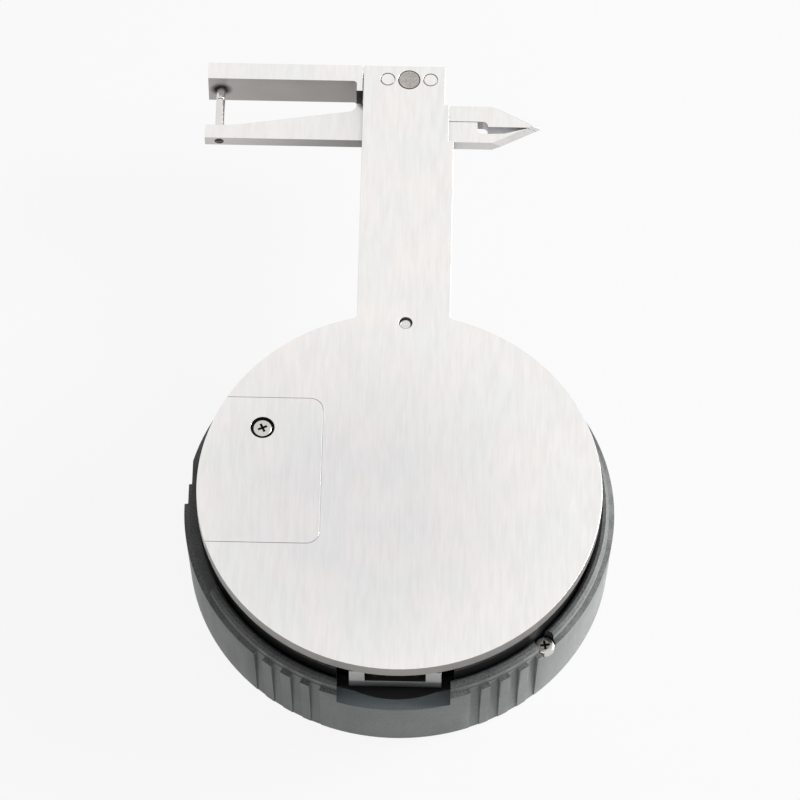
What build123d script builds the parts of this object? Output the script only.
from build123d import *
import math
import os

# A digital gauge for measuring stones. It rests face down, so the display looks at the table.
# X runs across the jaws, Y runs up the stem, Z points out of the back. Z = 0 is the table.
# The origin lies on the axis of the round case.

os.makedirs("parts", exist_ok=True)

# layers of the stem and the back of the case, from the back down
total_height = 20.0
plate_thickness = 2.1
slide_thickness = 2.0
slide_gap = 0.05
front_plate_thickness = 2.0
plate_front_z = total_height - plate_thickness
slide_rear_z = plate_front_z - slide_gap
slide_front_z = slide_rear_z - slide_thickness
slide_mid_z = slide_rear_z - slide_thickness / 2
guide_front_z = slide_front_z - slide_gap
guide_thickness = plate_front_z - guide_front_z
stem_front_z = guide_front_z - front_plate_thickness

# round case from the back plate outwards
disc_radius = 30.0
guide_rim_step = 0.4
housing_step = 0.7
housing_wall = 2.0
flange_width = 0.4
ring_fit = 0.1
ring_lip_width = 1.4
ring_shoulder_width = 0.8
guide_rim_radius = disc_radius - guide_rim_step
housing_radius = disc_radius - housing_step
flange_radius = housing_radius + flange_width
ring_bore_radius = housing_radius + ring_fit
ring_lip_inner = flange_radius + ring_fit
ring_lip_outer = ring_lip_inner + ring_lip_width
ring_radius = ring_lip_outer + ring_shoulder_width

# stem outline
stem_half_width = 7.0
stem_length = 31.85
stem_foot_depth = 8.0
stem_root_fillet = 0.6
stem_head_length = 12.25
stem_step_x = 6.2
stem_head_x = 5.55
step_drop = 1.2
jaw_bottom_y = disc_radius + stem_length
stem_top_y = jaw_bottom_y + stem_head_length
stem_foot_y = disc_radius - stem_foot_depth

# fixed jaw, left side
left_arm_end_x = -30.9
left_arm_width = 2.85
leg_outer_x = -8.05
leg_inner_x = -7.15
leg_length = 1.75
leg_fillet = 0.5
left_arm_under_y = stem_top_y - left_arm_width
leg_foot_y = left_arm_under_y - leg_length

# moving jaw, left side
moving_arm_end_x = -31.15
moving_arm_flat_x = -27.0
moving_arm_end_width = 2.35
moving_arm_root_width = 5.35
moving_arm_root_fillet = 1.45
crossing_left_x = -7.96
crossing_right_x = -3.0
crossing_width = 6.65
crossing_gap = 0.1
moving_arm_flat_y = jaw_bottom_y + moving_arm_end_width
moving_arm_root_y = jaw_bottom_y + moving_arm_root_width
crossing_top_y = jaw_bottom_y + crossing_width

# jaws on the right side, both pointed
right_jaws_width = 6.5
parting_rise = 3.75
parting_gap = 0.05
right_arm_top_y = jaw_bottom_y + right_jaws_width
parting_y = jaw_bottom_y + parting_rise

# relief between the pointed noses
notch_left_x = 10.6
notch_right_x = 12.2
notch_floor_rise = 1.55
notch_fillet = 0.75
nose_contact_rise = 2.85
nose_contact_gap = 0.04
relief_end_x = 14.85
relief_end_rise = 1.75
nose_land_x = 18.4
notch_floor_y = jaw_bottom_y + notch_floor_rise
nose_contact_y = jaw_bottom_y + nose_contact_rise
relief_end_y = jaw_bottom_y + relief_end_rise

# pointed nose, ground from both faces to a ridge at half thickness
nose_length = 6.15
nose_tip_x = 20.45
nose_bevel = 0.67
nose_half_width = right_jaws_width / 2
nose_mid_y = jaw_bottom_y + nose_half_width
nose_start_x = nose_tip_x - nose_length
nose_blank_x = nose_tip_x + nose_bevel
nose_angle = math.atan2(nose_half_width, nose_length)

# measuring pins of the left jaws
pin_x = -28.95
pin_radius = 0.7
pin_meeting_rise = 7.4
pin_meeting_gap = 0.06
pin_seat_depth = 2.35
pin_sink = 0.35
pin_meeting_y = jaw_bottom_y + pin_meeting_rise
fixed_pin_end_y = left_arm_under_y + pin_seat_depth
moving_pin_end_y = jaw_bottom_y + pin_sink

# data port in plan, at the edge of the case
port_half = 6.77
port_inset = 0.8
port_depth = 4.6
port_side_air = 1.83
port_air = 0.1
port_face_y = port_inset - disc_radius
port_back_y = port_face_y + port_depth
port_bay_half = port_half + port_side_air
port_bay_y = port_back_y + 2 * port_air

# slide bar, its tail and its slot for the limit pin
bar_half_width = 3.5
bar_side_gap = 0.05
travel = 25.0
channel_web = 1.1
channel_end_air = 0.8
channel_end_y = port_bay_y + channel_web
bar_end_y = channel_end_y + channel_end_air + travel
tail_end_x = 11.8
tail_width = 3.0
limit_x = 0.35
limit_inset = 1.63
limit_radius = 1.0
limit_slot_gap = 0.05
limit_end_gap = 0.07
limit_recess = 0.3
limit_seat_depth = 1.2
limit_y = disc_radius - limit_inset

# thumb knob on the display side
knob_rise = 0.65
knob_radius = 3.0
knob_neck_radius = 1.5
knob_stud_radius = 1.0
knob_height = 3.7
knob_air = 0.3
knob_slot_gap = 0.2
knob_end_air = 0.3
blind_end = 0.2
knob_y = jaw_bottom_y + knob_rise

# fastenings at the head and foot of the stem
dowel_x = 3.28
dowel_inset = 2.4
dowel_radius = 1.13
rivet_inset = 2.45
rivet_radius = 1.7
stem_screw_x = 5.2
stem_screw_edge = 2.9
press_gap = 0.01
dowel_y = stem_top_y - dowel_inset
rivet_y = stem_top_y - rivet_inset

# coin cell and its cover
cell_radius = 8.0
cell_height = 3.2
cell_rim_distance = 9.8
cell_drop = 1.2
cell_gap = 0.25
cell_rear_air = 0.2
cell_chamfer = 0.4
cell_foot_radius = 7.0
cell_foot_height = 0.2
cell_x = cell_rim_distance - disc_radius
cell_y = -cell_drop
cell_rear_z = plate_front_z - cell_rear_air
cell_front_z = cell_rear_z - cell_height
cover_right_margin = 8.6
cover_top_margin = 16.25
cover_bottom_margin = 8.3
cover_corner = 2.0
cover_seam = 0.05
cover_right_x = cell_x + cover_right_margin
cover_top_y = cell_y + cover_top_margin
cover_bottom_y = cell_y - cover_bottom_margin
cover_screw_left = 0.35
cover_screw_rise = 11.08
cover_bore_radius = 1.8
cover_bore_depth = 1.1
cover_screw_x = cell_x - cover_screw_left
cover_screw_y = cell_y + cover_screw_rise

# contacts of the cell
leaf_thickness = 0.2
leaf_spring_height = 0.3
leaf_half_length = 6.0
leaf_half_width = 1.5
leaf_dome_radius = 1.2
tab_half_width = 0.6
tab_thickness = 0.55
tab_gap = 0.05
leaf_bay_depth = 1.0
leaf_side_gap = 0.1
cell_pocket_z = cell_front_z - leaf_spring_height - leaf_thickness

# guide plate
rail_half_width = 6.9
rail_end_gap = 0.45
tail_bay_gap = 0.4
tail_bay_air = 0.7
rail_top_y = jaw_bottom_y - travel - rail_end_gap
stem_screw_y = rail_top_y - stem_screw_edge
channel_half = bar_half_width + bar_side_gap
tail_bay_x = tail_end_x + tail_bay_gap
tail_bay_top_y = bar_end_y + tail_width + tail_bay_air

# housing, its deck and its flange
panel_front_z = 1.0
panel_thickness = 1.5
deck_thickness = 3.2
deck_floor = 0.6
ring_exposed = 3.0
flange_drop = 0.9
flange_thickness = 1.15
flange_air = 0.05
panel_rear_z = panel_front_z + panel_thickness
deck_front_z = guide_front_z - deck_thickness
ring_wall_z = guide_front_z - ring_exposed
flange_rear_z = ring_wall_z - flange_drop
flange_front_z = flange_rear_z - flange_thickness
ring_seat_z = flange_front_z - flange_air

# reading board under the slide and its header
reader_half = 8.5
reader_bottom_y = -15.0
reader_top_y = 17.0
reader_thickness = 1.0
reader_air = 0.1
reader_gap = 0.2
header_half = 6.0
header_y = 14.0
header_depth = 2.4
header_air = 0.5
reader_rear_z = guide_front_z - reader_gap
reader_front_z = reader_rear_z - reader_thickness

# return spring beside the slide bar
spring_x = 10.5
spring_post_y = 4.0
spring_anchor_y = 23.5
spring_radius = 1.0
spring_bore_radius = 0.66
spring_wire = 0.34
spring_post_radius = 0.5
spring_drop = 1.25
groove_half = 1.3
post_air = 0.3
spring_z = guide_front_z - spring_drop
groove_floor_z = deck_front_z + deck_floor
post_foot_z = groove_floor_z + post_air

# scale strip on the slide
strip_half = 3.2
strip_bottom_y = 4.0
strip_top_y = 26.0
strip_thickness = 0.5

# main board
board_inset = 0.5
board_thickness = 1.0
board_radius = housing_radius - housing_wall - board_inset
board_front_z = deck_front_z - board_thickness

# grip ring
ring_rim_width = 5.2
ring_shoulder_rise = 0.2
ring_lip_height = 1.7
ring_lip_chamfer = 0.45
ring_draft = 0.55
ring_chamfer = 0.5
ring_notch_half = 8.34
ring_notch_shift = 0.22
ring_sill_drop = 0.2
ring_stem_gap = 0.3
ring_flange_radius = ring_radius - ring_rim_width
ring_lip_z = ring_wall_z + ring_lip_height
ring_sill_z = ring_seat_z - ring_sill_drop
groove_angles = (21.8, 27.4, 33.4, 39.3)
groove_width = 1.62
groove_depth = 0.7
groove_floor = ring_radius - groove_depth
ring_front_angle = -90.0
side_steps = ((0.6, 0.55), (3.9, 1.0))
lip_gap_start = 62.0
lip_gap_end = 130.0
ring_screw_angles = (45.0, 225.0)
ring_screw_inset = 0.3
ring_screw_reach = 5.5
ring_pocket_gap = 0.1
ring_screw_circle = ring_lip_outer - ring_screw_inset

# data port in height, and its slot
port_nose_depth = 2.2
port_rear_air = 0.5
port_foot_air = 0.5
port_round = 0.7
port_side_round = 0.8
port_slot_half = 4.45
port_slot_height = 2.4
port_slot_roof = 0.4
port_slot_depth = 4.0
port_nose_y = port_face_y + port_nose_depth
port_sill_z = ring_sill_z + port_air
port_front_z = port_sill_z + port_foot_air
port_rear_z = plate_front_z - port_rear_air
port_slot_rear_z = port_rear_z - port_slot_roof
port_slot_front_z = port_slot_rear_z - port_slot_height
contact_pitch = 2.0
contact_width = 0.8
contact_thickness = 0.15

# front panel, window and display
panel_fit = 0.1
panel_radius = housing_radius - panel_fit
panel_boss_radius = ring_flange_radius - panel_fit
window_y = 8.5
window_half_y = 7.5
window_ledge = 1.0
window_recess = 0.2
window_thickness = 1.0
window_gap = 0.05
glass_border = 1.0
glass_thickness = 2.0
frame_border = 1.5
frame_corner_gap = 0.4
frame_gap = 0.05
frame_floor = 1.0
contact_strip_y = 7.2
contact_strip_half = 0.8
contact_strip_inset = 2.0
glass_half_y = window_half_y + glass_border
frame_half_y = glass_half_y + frame_border
frame_corner_radius = housing_radius - housing_wall - frame_corner_gap
frame_half_x = math.sqrt(frame_corner_radius**2 - (window_y + frame_half_y) ** 2)
glass_half_x = frame_half_x - frame_border
window_half_x = glass_half_x - glass_border
contact_strip_half_x = glass_half_x - contact_strip_inset
glass_rear_z = panel_rear_z + glass_thickness

# buttons and switches
button_y = -13.0
button_spacing = 13.0
button_radius = 3.15
button_hole_gap = 0.15
button_sink = 0.4
button_chamfer = 0.3
button_flange_width = 0.55
button_flange_thickness = 0.65
button_air = 0.05
button_stem_radius = 1.3
button_travel = 0.5
switch_thickness = 0.55
switch_radius = 2.2

# screws
screw_radius = 0.8
screw_hole_gap = 0.02
screw_clearance = 0.1
small_screw_radius = 0.6
head_radius = 1.45
head_height = 1.0
board_head_height = 0.5
screw_bite = 1.0
case_screw_inset = 4.8
case_screw_angles = (20.0, 125.0, 235.0)
board_screw_inset = 5.3
board_screw_angles = (0.0, 245.0)


def block(x0, x1, y0, y1, z0, z1, mode=Mode.ADD):
    """A straight block between two corners."""
    with Locations(((x0 + x1) / 2, (y0 + y1) / 2, (z0 + z1) / 2)):
        Box(x1 - x0, y1 - y0, z1 - z0, mode=mode)


def rod(x, y, radius, z0, z1, mode=Mode.ADD):
    """A round piece or hole that stands upright."""
    with Locations((x, y, z0)):
        Cylinder(radius, z1 - z0, align=(Align.CENTER, Align.CENTER, Align.MIN), mode=mode)


def hole(x, y, radius, z0, z1):
    """A round hole along Z."""
    rod(x, y, radius, z0, z1, Mode.SUBTRACT)


def pocket(x0, x1, y0, y1, z0, z1):
    """A straight pocket between two corners."""
    block(x0, x1, y0, y1, z0, z1, Mode.SUBTRACT)


def rod_along_y(x, z, radius, y0, y1, mode=Mode.ADD):
    """A round piece or hole that lies along the stem."""
    with Locations(Plane(origin=(x, y0, z), x_dir=(1, 0, 0), z_dir=(0, 1, 0)).location):
        Cylinder(radius, y1 - y0, align=(Align.CENTER, Align.CENTER, Align.MIN), mode=mode)


def around_case(circle, angle):
    """The place on a circle around the case, with the angle counted from +X."""
    turn = math.radians(angle)
    return circle * math.cos(turn), circle * math.sin(turn)


case_screw_circle = housing_radius - case_screw_inset
board_screw_circle = housing_radius - board_screw_inset
case_screw_spots = [around_case(case_screw_circle, angle) for angle in case_screw_angles]
board_screw_spots = [around_case(board_screw_circle, angle) for angle in board_screw_angles]
ring_screw_spots = [around_case(ring_screw_circle, angle + ring_front_angle) for angle in ring_screw_angles]
stem_screw_spots = [(-stem_screw_x, stem_screw_y), (stem_screw_x, stem_screw_y)]
dowel_spots = [(-dowel_x, dowel_y), (dowel_x, dowel_y)]
button_spots = [step * button_spacing for step in (-1, 0, 1)]


def save(piece, label):
    """Write one sub-part to its own file."""
    piece.part.label = label
    export_step(piece.part, f"parts/{label}.step")


def screw(label, x, y, radius, shank, seat_z, head_z, tip_z):
    """An upright screw: the head runs from seat_z to head_z, the shank from seat_z to tip_z."""
    with BuildPart() as piece:
        rod(x, y, radius, min(seat_z, head_z), max(seat_z, head_z))
        rod(x, y, shank, min(seat_z, tip_z), max(seat_z, tip_z))
    save(piece, label)


def pin(label, x, y, radius, z0, z1):
    """A plain upright pin."""
    with BuildPart() as piece:
        rod(x, y, radius, z0, z1)
    save(piece, label)


def head_holes(z0, z1):
    """The holes for the two dowels and the rivet at the head of the stem."""
    hole(0, rivet_y, rivet_radius + press_gap, z0, z1)
    for spot_x, spot_y in dowel_spots:
        hole(spot_x, spot_y, dowel_radius + press_gap, z0, z1)


def stem_outline(foot_y, drop):
    """The outline of the stem from foot_y to its top. The steps at the right lie drop below the jaws."""
    with BuildSketch(Plane.XY) as outline:
        with BuildLine():
            Polyline(
                (-stem_half_width, foot_y),
                (stem_half_width, foot_y),
                (stem_half_width, jaw_bottom_y - drop),
                (stem_step_x, jaw_bottom_y - drop),
                (stem_step_x, right_arm_top_y - drop),
                (stem_head_x, right_arm_top_y - drop),
                (stem_head_x, stem_top_y),
                (-stem_half_width, stem_top_y),
                close=True,
            )
        make_face()
    return outline.sketch


def cover_outline(seam):
    """The D shape of the battery opening, made smaller all round by the seam."""
    left_x = -disc_radius - 2 * cover_corner
    width = cover_right_x - left_x
    height = cover_top_y - cover_bottom_y
    with BuildSketch(Plane.XY) as outline:
        with Locations(((cover_right_x + left_x) / 2, (cover_top_y + cover_bottom_y) / 2)):
            RectangleRounded(width - 2 * seam, height - 2 * seam, cover_corner - seam)
    return outline.sketch


def grind_nose():
    """Grind the jaw under way to the double bevel of the pointed nose, above and below the tip."""
    lean_x = math.sin(nose_angle)
    lean_y = math.cos(nose_angle)
    bevel_reach = nose_bevel * guide_thickness / (slide_thickness / 2)
    outer_reach = 3 * nose_half_width
    for side in (1, -1):
        ridge = Plane(
            origin=(nose_start_x, nose_mid_y + side * nose_half_width, slide_mid_z),
            x_dir=(lean_x, side * lean_y, 0),
            z_dir=(lean_y, -side * lean_x, 0),
        )
        with BuildSketch(ridge) as outside:
            with BuildLine():
                Polyline(
                    (0, 0),
                    (-bevel_reach, guide_thickness),
                    (outer_reach, guide_thickness),
                    (outer_reach, -guide_thickness),
                    (-bevel_reach, -guide_thickness),
                    close=True,
                )
            make_face()
        extrude(outside.sketch, amount=outer_reach, both=True, mode=Mode.SUBTRACT)


# Back plate: a round disc and the stem in one steel piece, open at the left for the battery.
with BuildPart() as back_plate:
    with BuildSketch(Plane.XY.offset(plate_front_z)) as plate_outline:
        Circle(disc_radius)
        add(stem_outline(0, step_drop))
        root_y = math.sqrt(disc_radius**2 - stem_half_width**2)
        for side in (-1, 1):
            root = plate_outline.vertices().sort_by_distance((side * stem_half_width, root_y))[0]
            fillet(root, stem_root_fillet)
        add(cover_outline(0), mode=Mode.SUBTRACT)
    extrude(amount=plate_thickness)
    hole(limit_x, limit_y, limit_radius + press_gap, plate_front_z, total_height)
    head_holes(plate_front_z, total_height)
    for spot_x, spot_y in stem_screw_spots:
        hole(spot_x, spot_y, screw_radius + screw_hole_gap, plate_front_z, plate_front_z + screw_bite)
save(back_plate, "back_plate")


# Battery cover: fills the opening with a narrow seam and carries its own piece of the rim.
cover_seat_z = total_height - cover_bore_depth
with BuildPart() as battery_cover:
    with BuildSketch(Plane.XY.offset(plate_front_z)):
        Circle(disc_radius)
        add(cover_outline(cover_seam), mode=Mode.INTERSECT)
    extrude(amount=plate_thickness)
    hole(cover_screw_x, cover_screw_y, screw_radius + screw_clearance, plate_front_z, cover_seat_z)
    hole(cover_screw_x, cover_screw_y, cover_bore_radius, cover_seat_z, total_height)
save(battery_cover, "battery_cover")
screw(
    "battery_cover_screw",
    cover_screw_x,
    cover_screw_y,
    head_radius,
    screw_radius,
    cover_seat_z,
    cover_seat_z + head_height,
    guide_front_z + blind_end,
)


# Guide plate: holds the slide bar in its channel and the battery in its pocket.
with BuildPart() as guide_plate:
    with Locations((0, 0, guide_front_z)):
        Cone(
            housing_radius,
            guide_rim_radius,
            guide_thickness,
            align=(Align.CENTER, Align.CENTER, Align.MIN),
        )
    block(-rail_half_width, rail_half_width, 0, rail_top_y, guide_front_z, plate_front_z)
    with BuildSketch(Plane.XY.offset(guide_front_z)) as openings:
        with BuildLine():
            Polyline(
                (-channel_half, channel_end_y),
                (tail_bay_x, channel_end_y),
                (tail_bay_x, tail_bay_top_y),
                (channel_half, tail_bay_top_y),
                (channel_half, rail_top_y),
                (-channel_half, rail_top_y),
                close=True,
            )
        make_face()
        with Locations((cell_x, cell_y)):
            Circle(cell_radius + cell_gap)
        with Locations((cell_x, cell_y + (cell_radius + leaf_bay_depth) / 2)):
            Rectangle(2 * leaf_half_width, cell_radius + leaf_bay_depth)
    extrude(openings.sketch, amount=guide_thickness, mode=Mode.SUBTRACT)
    pocket(-port_bay_half, port_bay_half, -disc_radius, port_bay_y, guide_front_z, plate_front_z)
    hole(cover_screw_x, cover_screw_y, screw_radius + screw_hole_gap, guide_front_z, plate_front_z)
    hole(spring_x, spring_anchor_y, spring_post_radius + press_gap, guide_front_z, plate_front_z)
    for spot_x, spot_y in case_screw_spots + stem_screw_spots:
        hole(spot_x, spot_y, screw_radius + screw_hole_gap, guide_front_z, plate_front_z)
save(guide_plate, "guide_plate")


# Stem front plate: closes the stem from the display side and has the slot for the thumb knob.
knob_slot_bottom_y = knob_y - travel - knob_neck_radius - knob_slot_gap
knob_slot_top_y = knob_y + knob_neck_radius + knob_end_air
stem_seat_z = stem_front_z + head_height
with BuildPart() as stem_front_plate:
    with BuildSketch(Plane.XY.offset(stem_front_z)):
        add(stem_outline(stem_foot_y, 0))
        with Locations((0, (knob_slot_bottom_y + knob_slot_top_y) / 2)):
            SlotOverall(
                knob_slot_top_y - knob_slot_bottom_y,
                2 * (knob_neck_radius + knob_slot_gap),
                rotation=90,
                mode=Mode.SUBTRACT,
            )
    extrude(amount=front_plate_thickness)
    hole(limit_x, limit_y, limit_radius + press_gap, guide_front_z - limit_seat_depth, guide_front_z)
    head_holes(stem_front_z, guide_front_z)
    for spot_x, spot_y in stem_screw_spots:
        hole(spot_x, spot_y, screw_radius + screw_clearance, stem_seat_z, guide_front_z)
        hole(spot_x, spot_y, head_radius + screw_clearance, stem_front_z, stem_seat_z)
save(stem_front_plate, "stem_front_plate")
for (spot_x, spot_y), name in zip(stem_screw_spots, ("left", "right")):
    screw(
        f"stem_screw_{name}",
        spot_x,
        spot_y,
        head_radius,
        screw_radius,
        stem_seat_z,
        stem_front_z,
        plate_front_z + screw_bite,
    )


# Fixed jaw: a thick left arm with a short leg, a tongue held in the stem and a pointed right arm.
with BuildPart() as fixed_jaw:
    with BuildSketch(Plane.XY.offset(stem_front_z)) as arm_outline:
        with BuildLine():
            Polyline(
                (left_arm_end_x, left_arm_under_y),
                (leg_outer_x, left_arm_under_y),
                (leg_outer_x, leg_foot_y),
                (leg_inner_x, leg_foot_y),
                (leg_inner_x, stem_top_y),
                (left_arm_end_x, stem_top_y),
                close=True,
            )
        make_face()
        inner_corner = arm_outline.vertices().sort_by_distance((leg_outer_x, left_arm_under_y))[0]
        fillet(inner_corner, leg_fillet)
    extrude(amount=total_height - stem_front_z)
    with BuildSketch(Plane.XY.offset(guide_front_z)) as tongue_outline:
        with BuildLine():
            Polyline(
                (leg_inner_x, stem_top_y),
                (leg_inner_x, crossing_top_y + crossing_gap),
                (crossing_right_x + crossing_gap, crossing_top_y + crossing_gap),
                (crossing_right_x + crossing_gap, parting_y),
                (notch_right_x, parting_y),
                (notch_right_x, nose_contact_y),
                (nose_blank_x, nose_contact_y),
                (nose_blank_x, right_arm_top_y),
                (stem_head_x, right_arm_top_y),
                (stem_head_x, stem_top_y),
                close=True,
            )
        make_face()
        notch_corner = tongue_outline.vertices().sort_by_distance((notch_right_x, parting_y))[0]
        fillet(notch_corner, notch_fillet)
    extrude(amount=guide_thickness)
    grind_nose()
    rod_along_y(pin_x, slide_mid_z, pin_radius + press_gap, left_arm_under_y, fixed_pin_end_y, Mode.SUBTRACT)
    head_holes(guide_front_z, plate_front_z)
save(fixed_jaw, "fixed_jaw")

with BuildPart() as fixed_pin:
    rod_along_y(pin_x, slide_mid_z, pin_radius, pin_meeting_y + pin_meeting_gap / 2, fixed_pin_end_y)
save(fixed_pin, "fixed_pin")

for (spot_x, spot_y), name in zip(dowel_spots, ("left", "right")):
    pin(f"jaw_dowel_{name}", spot_x, spot_y, dowel_radius, stem_front_z, total_height)
pin("jaw_rivet", 0, rivet_y, rivet_radius, stem_front_z, total_height)


# Limit pin: stands in the plates of the stem and stops the slide at both ends of its slot.
with BuildPart() as limit_pin:
    rod(limit_x, limit_y, limit_radius, guide_front_z - limit_seat_depth, total_height - limit_recess)
    chamfer(limit_pin.edges().group_by(Axis.Z)[-1], limit_recess)
save(limit_pin, "limit_pin")


# Moving jaw: left arm, pointed right arm and the slide bar with its tail, cut from one plate.
with BuildPart() as moving_jaw:
    with BuildSketch(Plane.XY.offset(slide_front_z)) as jaw_outline:
        with BuildLine():
            Polyline(
                (moving_arm_end_x, jaw_bottom_y),
                (-bar_half_width, jaw_bottom_y),
                (-bar_half_width, bar_end_y),
                (tail_end_x, bar_end_y),
                (tail_end_x, bar_end_y + tail_width),
                (bar_half_width, bar_end_y + tail_width),
                (bar_half_width, jaw_bottom_y),
                (nose_blank_x, jaw_bottom_y),
                (nose_blank_x, nose_contact_y - nose_contact_gap),
                (nose_land_x, nose_contact_y - nose_contact_gap),
                (relief_end_x, relief_end_y),
                (notch_left_x, notch_floor_y),
                (notch_left_x, parting_y - parting_gap),
                (crossing_right_x, parting_y - parting_gap),
                (crossing_right_x, crossing_top_y),
                (crossing_left_x, crossing_top_y),
                (crossing_left_x, moving_arm_root_y),
                (moving_arm_flat_x, moving_arm_flat_y),
                (moving_arm_end_x, moving_arm_flat_y),
                close=True,
            )
        make_face()
        notch_corner = jaw_outline.vertices().sort_by_distance((notch_left_x, notch_floor_y))[0]
        fillet(notch_corner, notch_fillet)
        root_corner = jaw_outline.vertices().sort_by_distance((crossing_left_x, moving_arm_root_y))[0]
        fillet(root_corner, moving_arm_root_fillet)
        slot_bottom_y = limit_y - limit_radius - limit_end_gap
        slot_top_y = limit_y + travel + limit_radius + limit_end_gap
        with Locations((limit_x, (slot_bottom_y + slot_top_y) / 2)):
            SlotOverall(
                slot_top_y - slot_bottom_y,
                2 * (limit_radius + limit_slot_gap),
                rotation=90,
                mode=Mode.SUBTRACT,
            )
    extrude(amount=slide_thickness)
    grind_nose()
    rod_along_y(pin_x, slide_mid_z, pin_radius + press_gap, jaw_bottom_y, moving_arm_flat_y, Mode.SUBTRACT)
    hole(0, knob_y, knob_stud_radius + press_gap, slide_front_z, slide_rear_z - blind_end)
    hole(spring_x, spring_post_y, spring_post_radius + press_gap, slide_front_z, slide_rear_z)
    pocket(
        -strip_half - press_gap,
        strip_half + press_gap,
        strip_bottom_y - press_gap,
        strip_top_y + press_gap,
        slide_front_z,
        slide_front_z + strip_thickness,
    )
save(moving_jaw, "moving_jaw")

with BuildPart() as moving_pin:
    rod_along_y(pin_x, slide_mid_z, pin_radius, moving_pin_end_y, pin_meeting_y - pin_meeting_gap / 2)
save(moving_pin, "moving_pin")


# Thumb knob: pushes the slide from the display side through the slot of the stem front plate.
knob_rear_z = stem_front_z - knob_air
with BuildPart() as thumb_knob:
    rod(0, knob_y, knob_radius, knob_rear_z - knob_height, knob_rear_z)
    chamfer(thumb_knob.edges().group_by(Axis.Z)[0], knob_air)
    rod(0, knob_y, knob_neck_radius, knob_rear_z, slide_front_z)
    rod(0, knob_y, knob_stud_radius, slide_front_z, slide_rear_z - blind_end)
save(thumb_knob, "thumb_knob")

with BuildPart() as scale_strip:
    strip_rear_z = slide_front_z + strip_thickness
    block(-strip_half, strip_half, strip_bottom_y, strip_top_y, slide_front_z, strip_rear_z)
save(scale_strip, "scale_strip")

pin("spring_post", spring_x, spring_post_y, spring_post_radius, post_foot_z, slide_rear_z - blind_end)
pin("spring_anchor", spring_x, spring_anchor_y, spring_post_radius, post_foot_z, plate_front_z - blind_end)


# Return spring: closes the jaws. Its turns lie against each other at rest, so it is a sleeve here,
# with an eye at each end that hooks over the post of the slide and over the anchor.
eye_bore = spring_post_radius + screw_clearance
eye_radius = eye_bore + spring_wire
eye_front_z = spring_z - spring_wire / 2
eye_rear_z = spring_z + spring_wire / 2
coil_start_y = spring_post_y + eye_radius + spring_wire
coil_end_y = spring_anchor_y - eye_radius - spring_wire
with BuildPart() as return_spring:
    rod_along_y(spring_x, spring_z, spring_radius, coil_start_y, coil_end_y)
    rod_along_y(spring_x, spring_z, spring_bore_radius, coil_start_y, coil_end_y, Mode.SUBTRACT)
    for eye_y, coil_y in ((spring_post_y, coil_start_y), (spring_anchor_y, coil_end_y)):
        side = 1 if coil_y > eye_y else -1
        low_y = min(eye_y, coil_y + side * spring_wire)
        high_y = max(eye_y, coil_y + side * spring_wire)
        rod(spring_x, eye_y, eye_radius, eye_front_z, eye_rear_z)
        block(spring_x - eye_radius, spring_x + eye_radius, low_y, high_y, eye_front_z, eye_rear_z)
        hole(spring_x, eye_y, eye_bore, eye_front_z, eye_rear_z)
save(return_spring, "return_spring")


# Housing: a black cup that opens to the display side, its deck carries boards, cell and spring.
case_seat_z = deck_front_z + head_height + blind_end
leaf_bay_y = cell_y + cell_radius + leaf_bay_depth
negative_tab_x = cell_x + leaf_half_length - tab_half_width
positive_tab_y = leaf_bay_y - tab_gap - tab_thickness
with BuildPart() as housing:
    rod(0, 0, housing_radius, panel_rear_z, guide_front_z)
    rod(0, 0, flange_radius, flange_front_z, flange_rear_z)
    hole(0, 0, housing_radius - housing_wall, panel_rear_z, deck_front_z)
    pocket(
        -reader_half - reader_air,
        reader_half + reader_air,
        reader_bottom_y - reader_air,
        reader_top_y + reader_air,
        reader_front_z,
        guide_front_z,
    )
    pocket(
        -header_half - header_air,
        header_half + header_air,
        header_y - header_depth / 2 - header_air,
        header_y + header_depth / 2 + header_air,
        deck_front_z,
        reader_front_z,
    )
    pocket(
        spring_x - groove_half,
        spring_x + groove_half,
        channel_end_y,
        spring_anchor_y + groove_half,
        groove_floor_z,
        guide_front_z,
    )
    hole(cell_x, cell_y, cell_radius + cell_gap, cell_pocket_z, guide_front_z)
    pocket(
        cell_x - leaf_half_width,
        cell_x + leaf_half_width,
        cell_y,
        leaf_bay_y,
        cell_pocket_z,
        guide_front_z,
    )
    pocket(
        negative_tab_x - tab_half_width - tab_gap,
        negative_tab_x + tab_half_width + tab_gap,
        cell_y - tab_thickness / 2 - tab_gap,
        cell_y + tab_thickness / 2 + tab_gap,
        deck_front_z,
        cell_pocket_z,
    )
    pocket(
        cell_x - tab_half_width - tab_gap,
        cell_x + tab_half_width + tab_gap,
        positive_tab_y - tab_gap,
        leaf_bay_y,
        deck_front_z,
        cell_pocket_z,
    )
    pocket(
        -stem_half_width - slide_gap,
        stem_half_width + slide_gap,
        stem_foot_y - slide_gap,
        disc_radius,
        stem_front_z - slide_gap,
        guide_front_z,
    )
    pocket(-port_bay_half, port_bay_half, -disc_radius, port_bay_y, port_sill_z, guide_front_z)
    for spot_x, spot_y in case_screw_spots:
        hole(spot_x, spot_y, head_radius + screw_clearance, deck_front_z, case_seat_z)
        hole(spot_x, spot_y, screw_radius + screw_clearance, case_seat_z, guide_front_z)
    for spot_x, spot_y in board_screw_spots:
        hole(spot_x, spot_y, small_screw_radius + screw_hole_gap, deck_front_z, deck_front_z + screw_bite)
save(housing, "housing")
for number, (spot_x, spot_y) in enumerate(case_screw_spots):
    screw(
        f"case_screw_{number + 1}",
        spot_x,
        spot_y,
        head_radius,
        screw_radius,
        case_seat_z,
        case_seat_z - head_height,
        plate_front_z - blind_end,
    )


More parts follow.
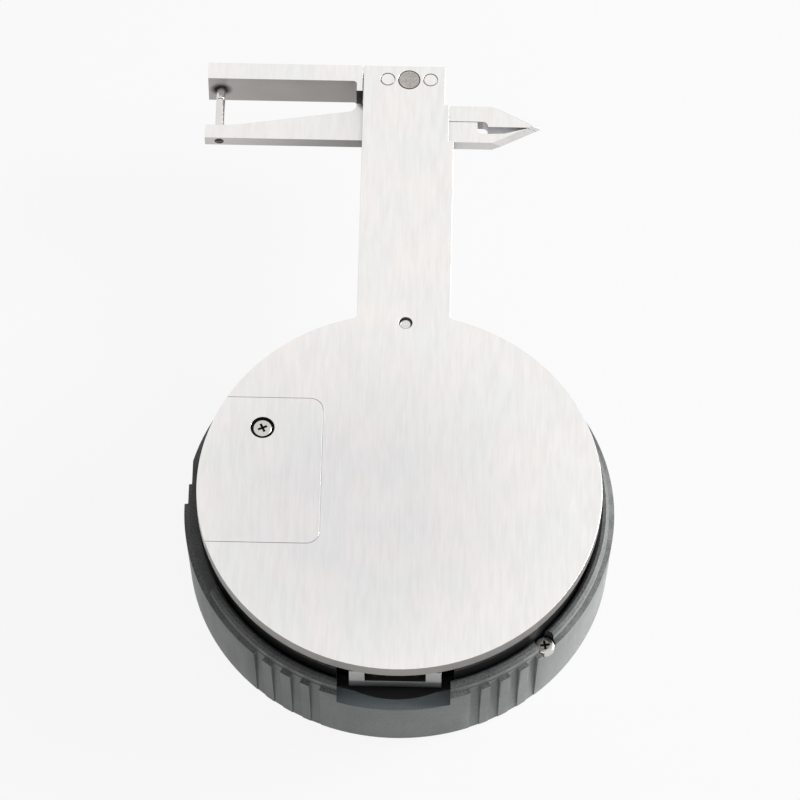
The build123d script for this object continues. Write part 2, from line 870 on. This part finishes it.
# Grip ring: a turned ring around the case with flat grooves for the fingers.
with BuildPart() as grip_ring:
    with BuildSketch(Plane.XZ) as section:
        with BuildLine():
            Polyline(
                (ring_flange_radius, 0),
                (ring_radius - ring_draft - ring_chamfer, 0),
                (ring_radius - ring_draft, ring_chamfer),
                (ring_radius, ring_wall_z),
                (ring_lip_outer, ring_wall_z + ring_shoulder_rise),
                (ring_lip_outer, ring_lip_z - ring_lip_chamfer),
                (ring_lip_outer - ring_lip_chamfer, ring_lip_z),
                (ring_lip_inner + ring_lip_chamfer, ring_lip_z),
                (ring_lip_inner, ring_lip_z - ring_lip_chamfer),
                (ring_lip_inner, ring_seat_z),
                (ring_bore_radius, ring_seat_z),
                (ring_bore_radius, panel_front_z),
                (ring_flange_radius, panel_front_z),
                close=True,
            )
        make_face()
    revolve(axis=Axis.Z)
    for angle in [*groove_angles, *(-angle for angle in groove_angles)]:
        with Locations(Rotation(0, 0, angle + ring_front_angle) * Pos(groove_floor + groove_depth, 0, 0)):
            Box(2 * groove_depth, groove_width, 2 * total_height, mode=Mode.SUBTRACT)
    for step_y, step_depth in side_steps:
        pocket(-2 * ring_radius, step_depth - ring_radius, step_y, ring_radius / 2, 0, ring_lip_z)
    pocket(
        -ring_notch_half - ring_notch_shift,
        ring_notch_half - ring_notch_shift,
        -ring_radius - groove_depth,
        -ring_radius / 2,
        ring_sill_z,
        ring_lip_z,
    )
    pocket(
        -stem_half_width - ring_stem_gap,
        stem_half_width + ring_stem_gap,
        ring_radius / 2,
        ring_radius + groove_depth,
        stem_front_z - ring_stem_gap,
        ring_lip_z,
    )
    with BuildSketch(Plane.XY.offset(ring_wall_z + ring_shoulder_rise)):
        with BuildLine():
            gap_span = lip_gap_end - lip_gap_start
            gap_start = ring_front_angle - lip_gap_end
            gap_arc = CenterArc((0, 0), ring_lip_outer, gap_start, gap_span)
            Line((0, 0), gap_arc @ 0)
            Line((0, 0), gap_arc @ 1)
        make_face()
    extrude(amount=ring_lip_height, mode=Mode.SUBTRACT)
    for spot_x, spot_y in ring_screw_spots:
        hole(spot_x, spot_y, head_radius + ring_pocket_gap, flange_rear_z, ring_lip_z)
        bore_front_z = flange_rear_z - ring_screw_reach
        hole(spot_x, spot_y, small_screw_radius + screw_hole_gap, bore_front_z, flange_rear_z)
save(grip_ring, "grip_ring")
for number, (spot_x, spot_y) in enumerate(ring_screw_spots):
    screw(
        f"ring_screw_{number + 1}",
        spot_x,
        spot_y,
        head_radius,
        small_screw_radius,
        flange_rear_z,
        flange_rear_z + head_height,
        flange_rear_z - ring_screw_reach + blind_end,
    )


# Data port: a plastic block on the edge of the main board with a slot for the plug.
with BuildPart() as data_port:
    block(-port_half, port_half, port_face_y, port_back_y, deck_front_z, port_rear_z)
    block(-port_half, port_half, port_face_y, port_nose_y, port_front_z, deck_front_z)
    for end_x in (-port_half, port_half):
        end_edges = data_port.edges().filter_by(Axis.Z)
        fillet(end_edges.sort_by_distance((end_x, port_face_y, port_front_z))[0], port_side_round)
    chin = data_port.edges().filter_by(Axis.X).sort_by_distance((0, port_face_y, port_front_z))[0]
    fillet(chin, port_round)
    pocket(
        -port_slot_half,
        port_slot_half,
        port_face_y,
        port_face_y + port_slot_depth,
        port_slot_front_z,
        port_slot_rear_z,
    )
save(data_port, "data_port")

with BuildPart() as port_contacts:
    for step in (-1.5, -0.5, 0.5, 1.5):
        contact_x = step * contact_pitch
        block(
            contact_x - contact_width / 2,
            contact_x + contact_width / 2,
            port_face_y + contact_width,
            port_face_y + port_slot_depth,
            port_slot_front_z,
            port_slot_front_z + contact_thickness,
        )
save(port_contacts, "port_contacts")


# Main board under the deck, reading board under the slide and the header between them.
with BuildPart() as main_board:
    rod(0, 0, board_radius, board_front_z, deck_front_z)
    for spot_x, spot_y in board_screw_spots:
        hole(spot_x, spot_y, small_screw_radius + screw_clearance, board_front_z, deck_front_z)
save(main_board, "main_board")
for number, (spot_x, spot_y) in enumerate(board_screw_spots):
    screw(
        f"board_screw_{number + 1}",
        spot_x,
        spot_y,
        head_radius,
        small_screw_radius,
        board_front_z,
        board_front_z - board_head_height,
        deck_front_z + screw_bite - blind_end,
    )

with BuildPart() as reading_board:
    block(-reader_half, reader_half, reader_bottom_y, reader_top_y, reader_front_z, reader_rear_z)
save(reading_board, "reading_board")

with BuildPart() as board_header:
    header_low_y = header_y - header_depth / 2
    header_high_y = header_y + header_depth / 2
    block(-header_half, header_half, header_low_y, header_high_y, deck_front_z, reader_front_z)
save(board_header, "board_header")


# Coin cell and its contacts: one leaf under the cell, one beside it.
with BuildPart() as coin_cell:
    can_front_z = cell_front_z + cell_foot_height
    rod(cell_x, cell_y, cell_radius, can_front_z, cell_rear_z)
    chamfer(coin_cell.edges().group_by(Axis.Z)[0], cell_chamfer)
    rod(cell_x, cell_y, cell_foot_radius, cell_front_z, can_front_z)
save(coin_cell, "coin_cell")

leaf_rear_z = cell_pocket_z + leaf_thickness
with BuildPart() as negative_contact:
    block(
        cell_x - leaf_half_length,
        cell_x + leaf_half_length,
        cell_y - leaf_half_width,
        cell_y + leaf_half_width,
        cell_pocket_z,
        leaf_rear_z,
    )
    rod(cell_x, cell_y, leaf_dome_radius, leaf_rear_z, cell_front_z)
    block(
        negative_tab_x - tab_half_width,
        negative_tab_x + tab_half_width,
        cell_y - tab_thickness / 2,
        cell_y + tab_thickness / 2,
        deck_front_z,
        cell_pocket_z,
    )
save(negative_contact, "negative_contact")

with BuildPart() as positive_contact:
    leaf_face_y = cell_y + cell_radius + tab_gap
    leaf_back_y = leaf_face_y + leaf_thickness
    foot_y = positive_tab_y + tab_thickness
    leaf_half = leaf_half_width - leaf_side_gap
    block(cell_x - leaf_half, cell_x + leaf_half, leaf_face_y, leaf_back_y, cell_pocket_z, cell_rear_z)
    block(cell_x - leaf_half, cell_x + leaf_half, leaf_back_y, foot_y, cell_pocket_z, leaf_rear_z)
    block(
        cell_x - tab_half_width,
        cell_x + tab_half_width,
        positive_tab_y,
        foot_y,
        deck_front_z,
        cell_pocket_z,
    )
save(positive_contact, "positive_contact")


# Front panel: flush with the ring's rim, with the display window and the holes for the buttons.
window_low_y = window_y - window_half_y
window_high_y = window_y + window_half_y
window_rear_z = window_recess + window_thickness
with BuildPart() as front_panel:
    rod(0, 0, panel_radius, panel_front_z, panel_rear_z)
    rod(0, 0, panel_boss_radius, 0, panel_front_z)
    pocket(
        -window_half_x + window_ledge,
        window_half_x - window_ledge,
        window_low_y + window_ledge,
        window_high_y - window_ledge,
        0,
        panel_rear_z,
    )
    pocket(
        -window_half_x - window_gap,
        window_half_x + window_gap,
        window_low_y - window_gap,
        window_high_y + window_gap,
        0,
        window_rear_z,
    )
    for spot_x in button_spots:
        hole(spot_x, button_y, button_radius + button_hole_gap, 0, panel_rear_z)
save(front_panel, "front_panel")

with BuildPart() as display_window:
    block(-window_half_x, window_half_x, window_low_y, window_high_y, window_recess, window_rear_z)
save(display_window, "display_window")

glass_low_y = window_y - glass_half_y
glass_high_y = window_y + glass_half_y
with BuildPart() as display_glass:
    block(-glass_half_x, glass_half_x, glass_low_y, glass_high_y, panel_rear_z, glass_rear_z)
save(display_glass, "display_glass")

with BuildPart() as display_frame:
    block(
        -frame_half_x,
        frame_half_x,
        window_y - frame_half_y,
        window_y + frame_half_y,
        panel_rear_z,
        board_front_z,
    )
    pocket(
        -glass_half_x - frame_gap,
        glass_half_x + frame_gap,
        glass_low_y - frame_gap,
        glass_high_y + frame_gap,
        panel_rear_z,
        glass_rear_z,
    )
    pocket(
        -contact_strip_half_x,
        contact_strip_half_x,
        window_y - contact_strip_y + 2 * contact_strip_half,
        window_y + contact_strip_y - 2 * contact_strip_half,
        glass_rear_z + frame_floor,
        board_front_z,
    )
    for side in (-1, 1):
        strip_y = window_y + side * contact_strip_y
        pocket(
            -contact_strip_half_x - frame_gap,
            contact_strip_half_x + frame_gap,
            strip_y - contact_strip_half - frame_gap,
            strip_y + contact_strip_half + frame_gap,
            glass_rear_z,
            board_front_z,
        )
save(display_frame, "display_frame")

for side, name in ((-1, "lower"), (1, "upper")):
    with BuildPart() as contact_strip:
        low_y = window_y + side * contact_strip_y - contact_strip_half
        high_y = low_y + 2 * contact_strip_half
        block(-contact_strip_half_x, contact_strip_half_x, low_y, high_y, glass_rear_z, board_front_z)
    save(contact_strip, f"contact_strip_{name}")


# Buttons and the switches they press.
switch_front_z = board_front_z - switch_thickness
flange_start_z = panel_rear_z + button_air
flange_end_z = flange_start_z + button_flange_thickness
for spot_x, name in zip(button_spots, ("left", "middle", "right")):
    with BuildPart() as button:
        rod(spot_x, button_y, button_radius, button_sink, flange_start_z)
        chamfer(button.edges().group_by(Axis.Z)[0], button_chamfer)
        rod(spot_x, button_y, button_radius + button_flange_width, flange_start_z, flange_end_z)
        rod(spot_x, button_y, button_stem_radius, flange_end_z, switch_front_z - button_travel - button_air)
    save(button, f"button_{name}")
    pin(f"switch_{name}", spot_x, button_y, switch_radius, switch_front_z, board_front_z)
